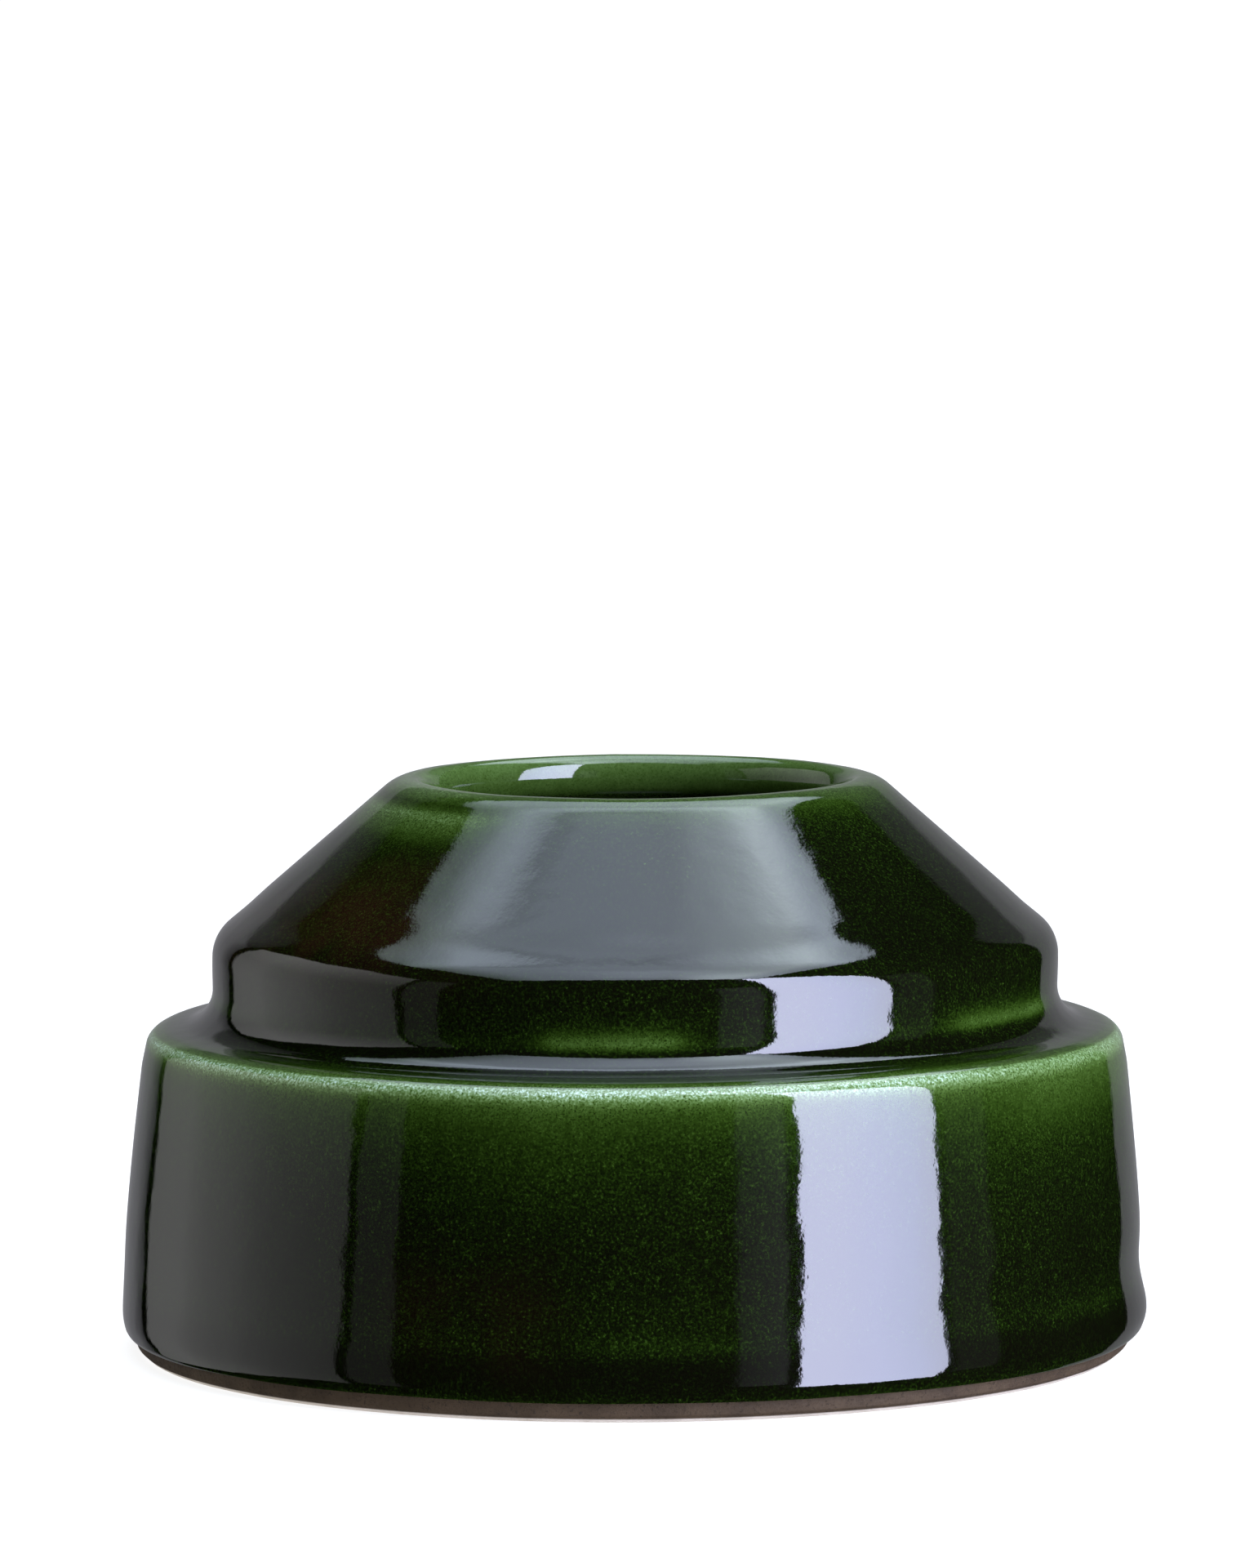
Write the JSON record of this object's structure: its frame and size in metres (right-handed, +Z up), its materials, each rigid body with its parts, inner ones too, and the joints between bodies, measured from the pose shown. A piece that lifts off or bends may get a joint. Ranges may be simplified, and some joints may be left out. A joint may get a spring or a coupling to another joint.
{
  "type": "inkwell",
  "caption": "Low glazed ceramic inkwell with a wide open mouth: conical drum, sloping ledge, upright band, cone and rounded lip over a bare clay foot ring.",
  "frame": {"origin": "centre of the foot, on the plane that the inkwell stands on", "axes": "+Z up along the axis of revolution, out of the mouth; -Y is the side that faces the viewer"},
  "size_m": [0.1, 0.1, 0.0558],
  "materials": {
    "fired_clay": "bare fired clay, matt, with fine grit and turning marks",
    "green_glaze_outside": "clear dark green glaze, high gloss, pale green where thin and near black where it pools",
    "green_glaze_inside": "clear green glaze, high gloss"
  },
  "bodies": {
    "root": {"clay_body": "fired_clay", "outer_glaze": "green_glaze_outside", "inner_glaze": "green_glaze_inside"}
  },
  "joints": []
}
